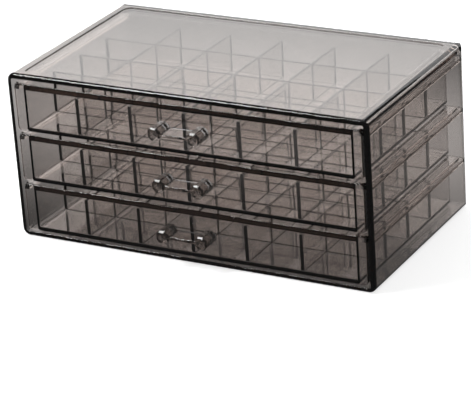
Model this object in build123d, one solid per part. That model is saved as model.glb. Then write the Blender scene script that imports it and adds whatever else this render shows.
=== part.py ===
from build123d import *
import os

# Smoky see-through storage box: an open-fronted case that holds three drawers, one above the other.
# Millimetres, +Z up, front towards -Y, origin at the middle of the case's base.

# Case
case_width = 240.0
case_depth = 135.0
case_height = 106.5
case_wall = 3.2
case_long_edge_radius = 5.0
case_back_upright_radius = 7.0
case_back_edge_radius = 3.0
cavity_long_edge_radius = 0.8
cavity_back_upright_radius = 3.0
cavity_back_edge_radius = 0.8
case_front_outer_radius = 2.4
case_front_inner_radius = 0.5
recess_side_border = 9.3
recess_back_border = 7.0
recess_front_border = 3.6
recess_depth = 0.6
recess_corner_radius = 5.0
recess_edge_radius = 0.25

# Drawers in the case
drawer_names = ["top", "middle", "bottom"]
head_gap = 3.1
drawer_gap = 2.5
floor_gap = 1.4
drawer_side_gap = 1.5
drawer_back_gap = 4.0
front_recess = 0.5

# Tray of a drawer
front_wall = 3.0
front_corner_radius = 2.5
front_edge_radius = 0.6
front_bevel_height = 4.2
front_bevel_depth = 2.2
tray_wall = 1.5
tray_floor = 1.3
tray_back_radius = 4.0
tray_foot_radius = 0.9
tray_inner_foot_radius = 0.8
flange_width = 5.8
flange_thickness = 1.5
flange_corner_radius = 2.0

# Rails of the case, one pair under the flanges of each tray
rail_bearing = 2.5
rail_height = 2.5
rail_edge_radius = 0.6
rail_slide_gap = 0.2
rail_stop_gap = 0.3

# Divider strips, half-lapped where they cross
column_count = 6
row_count = 4
divider_thickness = 1.8
divider_drop = 5.5
divider_floor_gap = 0.1
divider_end_gap = 0.15
lap_gap = 0.1

# Handle of a drawer
post_spacing = 26.0
post_across_flats = 8.4
post_length = 12.0
post_end_chamfer = 0.9
post_core_diameter = 4.2
post_core_depth = 3.0
post_side_count = 8
spigot_diameter = 4.0
spigot_gap = 0.05
web_thickness = 1.8
web_setback = 0.6
web_edge_radius = 0.4
seat_gap = 0.1

# Cuts run past the faces that they open by this much
overrun = 2.0

# Places that several pieces share
case_front_y = -case_depth / 2
case_back_y = case_depth / 2
cavity_half_width = case_width / 2 - case_wall
cavity_back_y = case_back_y - case_wall
cavity_top_z = case_height - case_wall
front_half_width = cavity_half_width - drawer_side_gap
tray_half_width = front_half_width - flange_width
inner_half_width = tray_half_width - tray_wall
front_y = case_front_y + front_recess
inner_front_y = front_y + front_wall
tray_back_y = cavity_back_y - drawer_back_gap
inner_back_y = tray_back_y - tray_wall
drawer_count = len(drawer_names)
stack_height = cavity_top_z - head_gap - case_wall - floor_gap
drawer_height = (stack_height - (drawer_count - 1) * drawer_gap) / drawer_count
drawer_pitch = drawer_height + drawer_gap
column_pitch = (2 * inner_half_width + divider_thickness) / column_count
row_pitch = (inner_back_y - inner_front_y + divider_thickness) / row_count
divider_height = drawer_height - tray_floor - divider_floor_gap - divider_drop
spigot_hole_diameter = spigot_diameter + 2 * spigot_gap


def rim_height(drawer):
    """Height of a drawer's rim, counted from the top drawer down."""
    return cavity_top_z - head_gap - drawer * drawer_pitch


def block(low, high):
    """Box between two opposite corners."""
    size = [b - a for a, b in zip(low, high)]
    middle = [(a + b) / 2 for a, b in zip(low, high)]
    return Pos(*middle) * Box(*size)


def plan_profile(half_width, front, back, back_radius):
    """Flat outline seen from above, with rounded back corners."""
    outline = Polyline(
        (-half_width, front), (half_width, front), (half_width, back), (-half_width, back), close=True
    )
    face = make_face(outline)
    back_corners = face.vertices().group_by(Axis.Y)[-1]
    return fillet(back_corners, back_radius)


def rounded_shell(half_width, front, back, low, high, long_radius, upright_radius, back_radius):
    """Solid with rounded long edges, rounded upright back edges and rounded level back edges."""
    depth = back - front
    height = high - low
    middle_z = (low + high) / 2
    front_plane = Plane(origin=(0, back, middle_z), x_dir=(1, 0, 0), z_dir=(0, -1, 0))
    along = extrude(front_plane * RectangleRounded(2 * half_width, height, long_radius), depth)
    above = extrude(Pos(0, 0, low) * plan_profile(half_width, front, back, upright_radius), height)
    side_outline = Polyline((front, low), (back, low), (back, high), (front, high), close=True)
    side_face = make_face(side_outline)
    side_corners = side_face.vertices().group_by(Axis.X)[-1]
    side_face = fillet(side_corners, back_radius)
    side_plane = Plane(origin=(-half_width, 0, 0), x_dir=(0, 1, 0), z_dir=(1, 0, 0))
    across = extrude(side_plane * side_face, 2 * half_width)
    return along & above & across


def case_shell():
    """Case: five walls in one moulding, with a recess in its top and the rails inside its side walls."""
    outside = rounded_shell(
        case_width / 2, case_front_y, case_back_y, 0, case_height,
        case_long_edge_radius, case_back_upright_radius, case_back_edge_radius,
    )
    cavity = rounded_shell(
        cavity_half_width, case_front_y - overrun, cavity_back_y, case_wall, cavity_top_z,
        cavity_long_edge_radius, cavity_back_upright_radius, cavity_back_edge_radius,
    )
    shell = outside - cavity
    shell = fillet(shell.faces().sort_by(Axis.Y)[0].outer_wire().edges(), case_front_outer_radius)
    shell = fillet(shell.faces().sort_by(Axis.Y)[0].inner_wires()[0].edges(), case_front_inner_radius)
    shell = shell - top_recess()
    shell = fillet(shell.faces().sort_by(Axis.Z)[-1].inner_wires()[0].edges(), recess_edge_radius)
    for drawer in range(drawer_count):
        rail_top = rim_height(drawer) - flange_thickness - rail_slide_gap
        for side in (-1, 1):
            shell = shell + (rail(side, rail_top) & outside)
    return shell


def top_recess():
    """Shallow step down around the top panel."""
    front = case_front_y + recess_front_border
    back = case_back_y - recess_back_border
    panel = RectangleRounded(case_width - 2 * recess_side_border, back - front, recess_corner_radius)
    return extrude(Pos(0, (front + back) / 2, case_height - recess_depth) * panel, recess_depth + overrun)


def rail(side, rail_top):
    """Ledge on a side wall; the back of the drawer's front stops against its front end."""
    inner_x = cavity_half_width - drawer_side_gap - rail_bearing
    outer_x = cavity_half_width + case_wall / 2
    ends = sorted([side * inner_x, side * outer_x])
    front = inner_front_y + rail_stop_gap
    back = cavity_back_y + case_wall / 2
    ledge = block((ends[0], front, rail_top - rail_height), (ends[1], back, rail_top))
    edge_pairs = ledge.edges().filter_by(Axis.Y).group_by(Axis.X)
    inner_pair = edge_pairs[0] if side > 0 else edge_pairs[-1]
    return fillet(inner_pair, rail_edge_radius)


def tray(drawer):
    """Tray: floor, walls, side flanges and the thicker front, with holes for the handle's spigots."""
    rim = rim_height(drawer)
    low = rim - drawer_height
    tub_front_y = (front_y + inner_front_y) / 2
    tub_plan = plan_profile(tray_half_width, tub_front_y, tray_back_y, tray_back_radius)
    tub = extrude(Pos(0, 0, low) * tub_plan, drawer_height)
    foot_face = tub.faces().sort_by(Axis.Z)[0]
    front_foot = foot_face.edges().sort_by(Axis.Y)[0]
    foot_edges = [edge for edge in foot_face.edges() if edge.center() != front_foot.center()]
    tub = fillet(foot_edges, tray_foot_radius)
    flange_plan = plan_profile(front_half_width, inner_front_y, tray_back_y, flange_corner_radius)
    tub = tub + extrude(Pos(0, 0, rim - flange_thickness) * flange_plan, flange_thickness)
    inner_radius = tray_back_radius - tray_wall
    hollow_plan = plan_profile(inner_half_width, inner_front_y, inner_back_y, inner_radius)
    hollow_height = drawer_height - tray_floor + overrun
    hollow = extrude(Pos(0, 0, low + tray_floor) * hollow_plan, hollow_height)
    hollow = fillet(hollow.faces().sort_by(Axis.Z)[0].edges(), tray_inner_foot_radius)
    whole = tub + front_plate(low, rim) - hollow - front_bevel(rim)
    for side in (-1, 1):
        whole = whole - spigot_hole(side, (low + rim) / 2)
    return whole


def front_plate(low, rim):
    """Front of a drawer: a plate with rounded corners and softened outer edges."""
    plane = Plane(origin=(0, inner_front_y, (low + rim) / 2), x_dir=(1, 0, 0), z_dir=(0, -1, 0))
    outline = RectangleRounded(2 * front_half_width, rim - low, front_corner_radius)
    plate = extrude(plane * outline, front_wall)
    return fillet(plate.faces().sort_by(Axis.Y)[0].edges(), front_edge_radius)


def front_bevel(rim):
    """Long bevel along the inner top edge of the front, between the side walls."""
    side_plane = Plane(origin=(-inner_half_width, 0, 0), x_dir=(0, 1, 0), z_dir=(1, 0, 0))
    slope_share = (front_bevel_height + overrun) / front_bevel_height
    wedge = Polyline(
        (inner_front_y, rim - front_bevel_height),
        (inner_front_y, rim + overrun),
        (inner_front_y - front_bevel_depth * slope_share, rim + overrun),
        close=True,
    )
    return extrude(side_plane * make_face(wedge), 2 * inner_half_width)


def spigot_hole(side, middle_z):
    """Round hole through the front for one spigot of the handle."""
    plane = Plane(origin=(side * post_spacing / 2, front_y - overrun, middle_z), z_dir=(0, 1, 0))
    return extrude(plane * Circle(spigot_hole_diameter / 2), front_wall + 2 * overrun)


def handle(drawer):
    """Handle: two eight-sided posts with cored ends, the web between them and a spigot behind each."""
    middle_z = rim_height(drawer) - drawer_height / 2
    seat_y = front_y - seat_gap
    tip_y = seat_y - post_length
    web = block(
        (-post_spacing / 2, tip_y + web_setback, middle_z - web_thickness / 2),
        (post_spacing / 2, seat_y, middle_z + web_thickness / 2),
    )
    web_tip_edges = web.edges().filter_by(Axis.X).group_by(Axis.Y)[0]
    pull = fillet(web_tip_edges, web_edge_radius)
    for side in (-1, 1):
        pull = pull + post(side, seat_y, tip_y, middle_z)
    for side in (-1, 1):
        core_plane = Plane(origin=(side * post_spacing / 2, tip_y - overrun, middle_z), z_dir=(0, 1, 0))
        pull = pull - extrude(core_plane * Circle(post_core_diameter / 2), post_core_depth + overrun)
    return pull


def post(side, seat_y, tip_y, middle_z):
    """One post with its chamfered outer end and its spigot."""
    seat_plane = Plane(origin=(side * post_spacing / 2, seat_y, middle_z), x_dir=(1, 0, 0), z_dir=(0, -1, 0))
    half_turn = 180 / post_side_count
    flats = RegularPolygon(post_across_flats / 2, post_side_count, major_radius=False)
    shank = extrude(seat_plane * (Rot(0, 0, half_turn) * flats), post_length)
    shank = chamfer(shank.faces().sort_by(Axis.Y)[0].edges(), post_end_chamfer)
    spigot_plane = Plane(origin=(side * post_spacing / 2, seat_y, middle_z), z_dir=(0, 1, 0))
    return shank + extrude(spigot_plane * Circle(spigot_diameter / 2), front_wall + seat_gap)


def cross_divider(drawer, row):
    """Strip from side to side, slotted from above. Its lower corners clear the tray's rounded floor edge."""
    middle_y = inner_front_y - divider_thickness / 2 + row * row_pitch
    low, high = divider_levels(drawer)
    half_length = inner_half_width - divider_end_gap
    strip = block(
        (-half_length, middle_y - divider_thickness / 2, low), (half_length, middle_y + divider_thickness / 2, high)
    )
    strip = chamfer(strip.edges().filter_by(Axis.Y).group_by(Axis.Z)[0], tray_inner_foot_radius)
    for column in range(1, column_count):
        middle_x = column_x(column)
        strip = strip - block(
            (middle_x - divider_thickness / 2 - lap_gap, middle_y - overrun, (low + high) / 2 - lap_gap),
            (middle_x + divider_thickness / 2 + lap_gap, middle_y + overrun, high + overrun),
        )
    return strip


def depth_divider(drawer, column):
    """Strip from front to back, slotted from below. Its lower corners clear the tray's rounded floor edge."""
    middle_x = column_x(column)
    low, high = divider_levels(drawer)
    strip = block(
        (middle_x - divider_thickness / 2, inner_front_y + divider_end_gap, low),
        (middle_x + divider_thickness / 2, inner_back_y - divider_end_gap, high),
    )
    strip = chamfer(strip.edges().filter_by(Axis.X).group_by(Axis.Z)[0], tray_inner_foot_radius)
    for row in range(1, row_count):
        middle_y = inner_front_y - divider_thickness / 2 + row * row_pitch
        strip = strip - block(
            (middle_x - overrun, middle_y - divider_thickness / 2 - lap_gap, low - overrun),
            (middle_x + overrun, middle_y + divider_thickness / 2 + lap_gap, (low + high) / 2 + lap_gap),
        )
    return strip


def divider_levels(drawer):
    """Lower and upper edge of the strips in a drawer."""
    low = rim_height(drawer) - drawer_height + tray_floor + divider_floor_gap
    return low, low + divider_height


def column_x(column):
    """Middle of the strip after a column of compartments."""
    return -inner_half_width - divider_thickness / 2 + column * column_pitch


def save(shape, node):
    export_step(shape, f"parts/{node}.step")


os.makedirs("parts", exist_ok=True)
save(case_shell(), "case_shell")
for drawer, name in enumerate(drawer_names):
    save(tray(drawer), f"{name}_tray")
    save(handle(drawer), f"{name}_handle")
    for row in range(1, row_count):
        save(cross_divider(drawer, row), f"{name}_cross_divider_{row}")
    for column in range(1, column_count):
        save(depth_divider(drawer, column), f"{name}_depth_divider_{column}")
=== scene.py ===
import math

import bmesh
import bpy
from mathutils import Matrix, Vector


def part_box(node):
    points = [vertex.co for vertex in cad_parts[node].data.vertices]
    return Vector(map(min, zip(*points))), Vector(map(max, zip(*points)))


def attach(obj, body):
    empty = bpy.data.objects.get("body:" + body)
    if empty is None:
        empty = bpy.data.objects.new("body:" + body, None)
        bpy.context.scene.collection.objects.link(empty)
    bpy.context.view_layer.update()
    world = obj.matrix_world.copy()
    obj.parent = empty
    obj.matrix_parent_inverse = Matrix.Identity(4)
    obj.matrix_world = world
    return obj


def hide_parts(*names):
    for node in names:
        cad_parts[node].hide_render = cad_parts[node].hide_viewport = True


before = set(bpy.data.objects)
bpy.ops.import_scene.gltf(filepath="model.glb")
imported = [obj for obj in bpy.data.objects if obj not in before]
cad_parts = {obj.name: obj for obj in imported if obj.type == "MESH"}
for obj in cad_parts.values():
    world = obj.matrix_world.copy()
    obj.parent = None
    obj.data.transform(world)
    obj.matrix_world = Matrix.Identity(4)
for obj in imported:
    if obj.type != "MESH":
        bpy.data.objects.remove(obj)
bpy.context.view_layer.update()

# Smoky see-through storage box with three drawers, each split into small compartments by divider strips

scene = bpy.context.scene
MM = 0.001
WHITE = "FFFFFF"


def linear(hex_colour, alpha=1.0):
    """Linear colour of an sRGB hex value."""
    parts = [int(hex_colour[i:i + 2], 16) / 255 for i in (0, 2, 4)]
    return [p / 12.92 if p <= 0.04045 else ((p + 0.055) / 1.055) ** 2.4 for p in parts] + [alpha]


def add(tree, kind, settings=None, links=None):
    """Adds a node, sets its sockets and properties, and links its sockets to those of other nodes."""
    node = tree.nodes.new(kind)
    for name, value in (settings or {}).items():
        if isinstance(name, int) or name in node.inputs:
            node.inputs[name].default_value = value
        else:
            setattr(node, name, value)
    for name, source in (links or {}).items():
        tree.links.new(source, node.inputs[name])
    return node


def new_material(name):
    """Empty material and its node tree."""
    material = bpy.data.materials.new(name)
    material.use_nodes = True
    material.node_tree.nodes.clear()
    return material, material.node_tree


def finished_mesh(name, bm):
    """Mesh of a shape that is done."""
    mesh = bpy.data.meshes.new(name)
    bm.to_mesh(mesh)
    bm.free()
    return mesh


def link_object(name, data):
    """Object of the given data, put in the scene."""
    thing = bpy.data.objects.new(name, data)
    scene.collection.objects.link(thing)
    return thing


# Surface of moulded polystyrene, in real sizes
POLYSTYRENE_IOR = 1.59
FLOW_WAVE = 22 * MM
FLOW_HEIGHT = 0.012 * MM
WEAR_PATCH = 6 * MM
WEAR_DETAIL = 3.0
WEAR_STARTS, WEAR_FULL = 0.62, 0.8
WORN_ROUGHNESS = 0.04
HAIRLINE_LENGTH = 24 * MM
HAIRLINE_WIDTH = 0.5 * MM
HAIRLINE_DEPTH = 0.004 * MM
HAIRLINE_STARTS, HAIRLINE_FULL = 0.74, 0.8
HAIRLINE_ROUGHNESS = 0.06
HAIRLINE_TURN = (0.3, 0.5, 0.7)

# Surface of the strips' dark edges, whose near-black colour is painted shade: saw-mark bumps and roughness
SAW_MARK = 0.8 * MM
SAW_DEPTH = 0.05 * MM
SAW_DETAIL = 2.0
SAWN_ROUGHNESS_LEAST, SAWN_ROUGHNESS_MOST = 0.4, 0.65
SAWN_SHINE = 0.1


def see_through_polystyrene(name, smoke, absorption):
    """Moulded polystyrene, polished: clear across its thickness and dark along its length.

    Shallow flow waves bend what is seen in it. It has dull worn patches, and hairlines that are wider than
    real ones so that they can show.
    """
    material, tree = new_material(name)
    place = add(tree, "ShaderNodeTexCoord").outputs["Object"]
    flow = add(tree, "ShaderNodeTexNoise", {"Scale": 1 / FLOW_WAVE, "Detail": 0.0}, {"Vector": place})
    wear = add(
        tree, "ShaderNodeTexNoise", {"Scale": 1 / WEAR_PATCH, "Detail": WEAR_DETAIL}, {"Vector": place},
    )
    along = add(
        tree, "ShaderNodeMapping",
        {
            "Rotation": HAIRLINE_TURN,
            "Scale": (1 / HAIRLINE_LENGTH, 1 / HAIRLINE_WIDTH, 1 / HAIRLINE_LENGTH),
        },
        {"Vector": place},
    )
    streaks = add(
        tree, "ShaderNodeTexNoise", {"Scale": 1.0, "Detail": 0.0}, {"Vector": along.outputs["Vector"]},
    )
    hairlines = add(
        tree, "ShaderNodeMapRange",
        {"From Min": HAIRLINE_STARTS, "From Max": HAIRLINE_FULL, "To Max": HAIRLINE_ROUGHNESS},
        {"Value": streaks.outputs["Fac"]},
    )
    worn = add(
        tree, "ShaderNodeMapRange",
        {"From Min": WEAR_STARTS, "From Max": WEAR_FULL, "To Max": WORN_ROUGHNESS},
        {"Value": wear.outputs["Fac"]},
    )
    polish = add(
        tree, "ShaderNodeMath", {"operation": "ADD"},
        {0: hairlines.outputs["Result"], 1: worn.outputs["Result"]},
    )
    waves = add(tree, "ShaderNodeBump", {"Distance": FLOW_HEIGHT}, {"Height": flow.outputs["Fac"]})
    relief = add(
        tree, "ShaderNodeBump", {"Distance": HAIRLINE_DEPTH, "invert": True},
        {"Height": hairlines.outputs["Result"], "Normal": waves.outputs["Normal"]},
    )
    shader = add(
        tree, "ShaderNodeBsdfPrincipled",
        {"Base Color": linear(WHITE), "IOR": POLYSTYRENE_IOR, "Transmission Weight": 1.0},
        {"Roughness": polish.outputs["Value"], "Normal": relief.outputs["Normal"]},
    )
    haze = add(tree, "ShaderNodeVolumeAbsorption", {"Color": linear(smoke), "Density": absorption})
    add(
        tree, "ShaderNodeOutputMaterial", None,
        {"Surface": shader.outputs["BSDF"], "Volume": haze.outputs["Volume"]},
    )
    return material


def painted_shade_edge_finish(name, colour):
    """Edges of a smoky strip painted almost black as shade: matt with fine saw marks.

    The dark colour is painted shade, standing in for the dark lines that the strip's feet and ends show.
    """
    material, tree = new_material(name)
    place = add(tree, "ShaderNodeTexCoord").outputs["Object"]
    saw = add(tree, "ShaderNodeTexNoise", {"Scale": 1 / SAW_MARK, "Detail": SAW_DETAIL}, {"Vector": place})
    matt = add(
        tree, "ShaderNodeMapRange", {"To Min": SAWN_ROUGHNESS_LEAST, "To Max": SAWN_ROUGHNESS_MOST},
        {"Value": saw.outputs["Fac"]},
    )
    marks = add(tree, "ShaderNodeBump", {"Distance": SAW_DEPTH}, {"Height": saw.outputs["Fac"]})
    shader = add(
        tree, "ShaderNodeBsdfPrincipled",
        {"Base Color": linear(colour), "IOR": POLYSTYRENE_IOR, "Specular IOR Level": SAWN_SHINE},
        {"Roughness": matt.outputs["Result"], "Normal": marks.outputs["Normal"]},
    )
    add(tree, "ShaderNodeOutputMaterial", None, {"Surface": shader.outputs["BSDF"]})
    return material


# Smoke of the case, trays and strips; a neutral grey for the handles; near-black painted shade for the
# strips' edges
SMOKE, SMOKE_DENSITY = "AA886F", 74.0
HANDLE_GREY, HANDLE_DENSITY = "A0968F", 100.0
PAINTED_SHADE_BLACK = "1A1614"
smoky = see_through_polystyrene("smoky_polystyrene", SMOKE, SMOKE_DENSITY)
tinted = see_through_polystyrene("grey_tinted_polystyrene", HANDLE_GREY, HANDLE_DENSITY)
painted_shade_edge = painted_shade_edge_finish("painted_shade_strip_edge", PAINTED_SHADE_BLACK)
for node_name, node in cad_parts.items():
    node.data.materials.clear()
    node.data.materials.append(tinted if node_name.endswith("handle") else smoky)


# Divider strips: clear faces, a softened top edge, ends that widen where they meet the tray, and near-black
# painted shade on the feet and ends
TOP_EDGE = 0.35 * MM
TOP_EDGE_STEPS = 3
FOOT_CHAMFER = 0.8 * MM
LAP_GAP = 0.1 * MM
SIDE_END_FLARE = 0.8 * MM
FRONT_END_FLARE = 0.25 * MM
SIDE_TO_SIDE, FRONT_TO_BACK = 0, 1
STRIP_FINISHES = (smoky, painted_shade_edge)
PAINTED_SHADE_SLOT = STRIP_FINISHES.index(painted_shade_edge)


def strip_outline(start, end, low, high, flare, slot_half, crossings, slotted_from_above):
    """Side view of a strip as lengths and levels, once around from the foot of its start."""
    middle = (low + high) / 2
    foot = [(start, low + FOOT_CHAMFER), (start + FOOT_CHAMFER, low)]
    head = [(end, high), (end - flare, high)]
    for crossing in crossings:
        before, after = crossing - slot_half, crossing + slot_half
        if slotted_from_above:
            slot_floor = middle - LAP_GAP
            head += [(after, high), (after, slot_floor), (before, slot_floor), (before, high)]
        else:
            slot_roof = middle + LAP_GAP
            foot += [(before, low), (before, slot_roof), (after, slot_roof), (after, low)]
    foot += [(end - FOOT_CHAMFER, low), (end, low + FOOT_CHAMFER)]
    head += [(start + flare, high), (start, high)]
    return foot + head


def strip_mesh(name, outline, thickness, flare, runs_along, centre):
    """Sweeps the outline to the strip's thickness, widens the two ends and softens the top edges.

    Feet, ends and the gussets beside the ends get the near-black painted shade finish.
    """
    across = 1 - runs_along
    lengths = [length for length, level in outline]
    levels = [level for length, level in outline]
    ends = (min(lengths), max(lengths))
    foot_level, top_level = min(levels), max(levels)

    bm = bmesh.new()
    near = [bm.verts.new((0, 0, level)) for level in levels]
    for corner, length in zip(near, lengths):
        corner.co[runs_along] = length
        corner.co[across] = centre - thickness / 2
    swept = bmesh.ops.extrude_face_region(bm, geom=[bm.faces.new(near)])["geom"]
    swept_corners = {part for part in swept if isinstance(part, bmesh.types.BMVert)}
    far = []
    for corner in near:
        neighbours = [edge.other_vert(corner) for edge in corner.link_edges]
        far += [other for other in neighbours if other in swept_corners]
    sweep = Vector()
    sweep[across] = thickness
    bmesh.ops.translate(bm, vec=sweep, verts=far)

    # A fold across each side, from foot to head, is where an end starts to widen
    end_foot = lengths.index(ends[1])
    for side, outwards in ((near, -1), (far, 1)):
        for foot, head in ((1, -2), (end_foot - 1, end_foot + 2)):
            bmesh.ops.connect_verts(bm, verts=[side[foot], side[head]])
        tips = [corner for corner, length in zip(side, lengths) if length in ends]
        spread = Vector()
        spread[across] = outwards * flare
        bmesh.ops.translate(bm, vec=spread, verts=tips)

    step_of = {corner: step for side in (near, far) for step, corner in enumerate(side)}
    top_edges = []
    for face in bm.faces:
        steps = [step_of[corner] for corner in face.verts]
        face_levels = {levels[step] for step in steps}
        if face_levels == {top_level}:
            top_edges += [edge for edge in face.edges if step_of[edge.verts[0]] != step_of[edge.verts[1]]]
        elif face_levels == {foot_level} or any(lengths[step] in ends for step in steps):
            # Feet, ends and gussets take the near-black finish: painted shade
            face.material_index = PAINTED_SHADE_SLOT
    softened = bmesh.ops.bevel(
        bm, geom=top_edges, offset=TOP_EDGE, affect="EDGES", segments=TOP_EDGE_STEPS, profile=0.5,
        material=-1,
    )
    for face in softened["faces"]:
        face.smooth = True
    bmesh.ops.recalc_face_normals(bm, faces=bm.faces)
    return finished_mesh(name, bm)


def middle_of(node_name, axis):
    """Middle of a node's box along an axis."""
    low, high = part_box(node_name)
    return (low[axis] + high[axis]) / 2


def make_strip(node_name, body, runs_along, crossing_names, slotted_from_above):
    """Makes the strip that stands for a divider node."""
    across = 1 - runs_along
    low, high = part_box(node_name)
    thickness = high[across] - low[across]
    crossings = [middle_of(name, runs_along) for name in crossing_names]
    crossings.sort(reverse=slotted_from_above)
    flare = FRONT_END_FLARE if runs_along == FRONT_TO_BACK else SIDE_END_FLARE
    outline = strip_outline(
        low[runs_along], high[runs_along], low.z, high.z, flare, thickness / 2 + LAP_GAP, crossings,
        slotted_from_above,
    )
    name = node_name.replace("divider", "strip")
    mesh = strip_mesh(name, outline, thickness, flare, runs_along, middle_of(node_name, across))
    for finish in STRIP_FINISHES:
        mesh.materials.append(finish)
    strip = link_object(name, mesh)
    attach(strip, body)
    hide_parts(node_name)


DRAWERS = ("top", "middle", "bottom")
for drawer in DRAWERS:
    cross_names = [f"{drawer}_cross_divider_{row}" for row in (1, 2, 3)]
    depth_names = [f"{drawer}_depth_divider_{column}" for column in (1, 2, 3, 4, 5)]
    for node_name in cross_names:
        make_strip(node_name, f"{drawer}_drawer", SIDE_TO_SIDE, depth_names, True)
    for node_name in depth_names:
        make_strip(node_name, f"{drawer}_drawer", FRONT_TO_BACK, cross_names, False)


# Camera at the photograph's view: turn, tilt and roll in degrees, distance and slide in metres
IMAGE_WIDTH = 471
FOCAL_PIXELS = 2472
SENSOR_WIDTH = 36.0
VIEW_AZIMUTH = 29.90
VIEW_ELEVATION = 23.57
VIEW_ROLL = -4.0
VIEW_DISTANCE = 1.4987
VIEW_SLIDE = Vector((0.0031, 0.0413, 0))


def make_camera():
    """Camera that sees the box as the photograph does."""
    data = bpy.data.cameras.new("camera")
    data.sensor_width = SENSOR_WIDTH
    data.lens = FOCAL_PIXELS * SENSOR_WIDTH / IMAGE_WIDTH
    camera = link_object("camera", data)
    turn = (
        Matrix.Rotation(math.radians(VIEW_AZIMUTH), 4, "Z")
        @ Matrix.Rotation(math.radians(90 - VIEW_ELEVATION), 4, "X")
        @ Matrix.Rotation(math.radians(VIEW_ROLL), 4, "Z")
    )
    case_low, case_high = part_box("case_shell")
    middle = (case_low + case_high) / 2
    offset = Vector((-VIEW_SLIDE.x, -VIEW_SLIDE.y, VIEW_DISTANCE))
    camera.matrix_world = Matrix.Translation(middle + turn.to_3x3() @ offset) @ turn
    scene.camera = camera


# Table: places and reaches in metres; a strength of 1 is white
TABLE_HALF = 4.0
TABLE_DROP = 0.2 * MM
TABLE_COLOUR = "F4F4F4"
FLOOR_GLOW = 0.75
POOL_CENTRE = (-0.07, 0.155, 0)
POOL_REACH = (0.4, 0.22, 1)
POOL_GLOW = 0.74
TABLE_GLOW = 0.07
FRONT_CENTRE = (0.06, -0.28, 0)
FRONT_REACH = (0.36, 0.2, 1)
FRONT_GLOW = 1.0
LIT_SIDE = (-0.7071, 0.7071, 0)
LIT_STARTS, LIT_FULL = 0.04, 0.3
GLOSS_NEAR, GLOSS_FAR = 0.1, 1.0


def light_pool(tree, place, centre, reach, inside, outside):
    """Strength of a soft oval pool of light on the table."""
    from_centre = add(tree, "ShaderNodeVectorMath", {"operation": "SUBTRACT", 1: centre}, {0: place})
    in_reach = add(
        tree, "ShaderNodeVectorMath", {"operation": "DIVIDE", 1: reach}, {0: from_centre.outputs["Vector"]},
    )
    distance = add(tree, "ShaderNodeVectorMath", {"operation": "LENGTH"}, {0: in_reach.outputs["Vector"]})
    pool = add(
        tree, "ShaderNodeMapRange",
        {"interpolation_type": "SMOOTHSTEP", "To Min": inside, "To Max": outside},
        {"Value": distance.outputs["Value"]},
    )
    return pool.outputs["Result"]


def white_table():
    """Matt white table that keeps the box's shadow.

    Through the plastic it shows as a pool of light behind the box and one before it. Mirrored in the plastic
    it brightens towards the lit side.
    """
    material, tree = new_material("white_table")
    path = add(tree, "ShaderNodeLightPath")
    place = add(tree, "ShaderNodeTexCoord").outputs["Object"]
    behind = light_pool(tree, place, POOL_CENTRE, POOL_REACH, POOL_GLOW, TABLE_GLOW)
    before = light_pool(tree, place, FRONT_CENTRE, FRONT_REACH, FRONT_GLOW, 0)
    pools = add(tree, "ShaderNodeMath", {"operation": "ADD"}, {0: behind, 1: before})
    through = add(tree, "ShaderNodeEmission", None, {"Strength": pools.outputs["Value"]})
    towards_light = add(tree, "ShaderNodeVectorMath", {"operation": "DOT_PRODUCT", 1: LIT_SIDE}, {0: place})
    fall_off = add(
        tree, "ShaderNodeMapRange",
        {
            "interpolation_type": "SMOOTHSTEP", "From Min": LIT_STARTS, "From Max": LIT_FULL,
            "To Min": GLOSS_NEAR, "To Max": GLOSS_FAR,
        },
        {"Value": towards_light.outputs["Value"]},
    )
    mirrored = add(tree, "ShaderNodeEmission", None, {"Strength": fall_off.outputs["Result"]})
    seen = add(
        tree, "ShaderNodeMath", {"operation": "MULTIPLY", 1: FLOOR_GLOW}, {0: path.outputs["Is Camera Ray"]},
    )
    glow = add(tree, "ShaderNodeEmission", None, {"Strength": seen.outputs["Value"]})
    matt_white = add(tree, "ShaderNodeBsdfDiffuse", {"Color": linear(TABLE_COLOUR)})
    open_table = add(
        tree, "ShaderNodeAddShader", None, {0: matt_white.outputs["BSDF"], 1: glow.outputs["Emission"]},
    )
    in_gloss = add(
        tree, "ShaderNodeMixShader", None,
        {
            0: path.outputs["Is Glossy Ray"],
            1: open_table.outputs["Shader"], 2: mirrored.outputs["Emission"],
        },
    )
    # Last, because a ray through the plastic counts as a glossy one too
    in_plastic = add(
        tree, "ShaderNodeMixShader", None,
        {
            0: path.outputs["Is Transmission Ray"],
            1: in_gloss.outputs["Shader"], 2: through.outputs["Emission"],
        },
    )
    add(tree, "ShaderNodeOutputMaterial", None, {"Surface": in_plastic.outputs["Shader"]})
    return material


def make_floor():
    """Flat table just under the box."""
    bm = bmesh.new()
    drop = Matrix.Translation((0, 0, -TABLE_DROP))
    bmesh.ops.create_grid(bm, x_segments=1, y_segments=1, size=TABLE_HALF, matrix=drop)
    mesh = finished_mesh("floor", bm)
    mesh.materials.append(white_table())
    floor = link_object("floor", mesh)


ROOM_GLOW = 0.12


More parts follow.
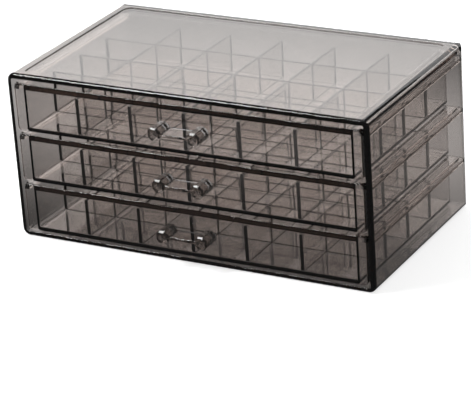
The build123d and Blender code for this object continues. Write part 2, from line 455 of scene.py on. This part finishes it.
def make_world():
    """Dim room, white to the camera."""
    world = bpy.data.worlds.new("studio")
    scene.world = world
    world.use_nodes = True
    tree = world.node_tree
    tree.nodes.clear()
    path = add(tree, "ShaderNodeLightPath")
    room = add(
        tree, "ShaderNodeMapRange", {"To Min": ROOM_GLOW, "To Max": 1.0},
        {"Value": path.outputs["Is Camera Ray"]},
    )
    back = add(tree, "ShaderNodeBackground", {"Color": linear(WHITE)}, {"Strength": room.outputs["Result"]})
    add(tree, "ShaderNodeOutputWorld", None, {"Surface": back.outputs["Background"]})


# Softboxes: name, size, place, what they point at, radiance, and the rays that don't see them.
# One that is hidden from transmission leaves only glints on the outer faces.
BOX_MIDDLE = (0, 0, 0.05)
SOFTBOXES = (
    ("back_panel", (3.0, 0.85), (-0.6, 1.48, 0.74), BOX_MIDDLE, 1.2, ()),
    ("low_strip", (3.4, 0.5), (-1.2, 1.5, 0.27), BOX_MIDDLE, 3.5, ("transmission", "diffuse")),
    ("overhead_softbox", (0.9, 0.9), (0.0, 0.35, 1.2), (0, 0.05, 0), 0.8, ()),
    ("key_softbox", (0.45, 0.45), (-0.56, -0.4, 0.98), BOX_MIDDLE, 12.0, ("transmission",)),
    ("right_softbox", (0.35, 0.5), (0.82, 0.97, 0.79), BOX_MIDDLE, 2.0, ("transmission",)),
)


def make_softbox(name, size, place, target, radiance, hidden_from):
    """Rectangular lamp that gives the same radiance whatever its size."""
    data = bpy.data.lights.new(name, "AREA")
    data.shape = "RECTANGLE"
    data.size, data.size_y = size
    data.energy = radiance * math.pi * size[0] * size[1]
    light = link_object(name, data)
    light.location = place
    light.rotation_euler = (Vector(target) - Vector(place)).to_track_quat("-Z", "Y").to_euler()
    for ray in hidden_from:
        setattr(light, f"visible_{ray}", False)


# Bounces enough for light to pass the many walls and strips
PLASTIC_BOUNCES = 48
GLOSSY_BOUNCES = 24
TRANSPARENT_BOUNCES = 16

make_camera()
make_floor()
make_world()
for softbox in SOFTBOXES:
    make_softbox(*softbox)

scene.view_settings.view_transform = "Standard"
scene.cycles.max_bounces = PLASTIC_BOUNCES
scene.cycles.transmission_bounces = PLASTIC_BOUNCES
scene.cycles.glossy_bounces = GLOSSY_BOUNCES
scene.cycles.transparent_max_bounces = TRANSPARENT_BOUNCES
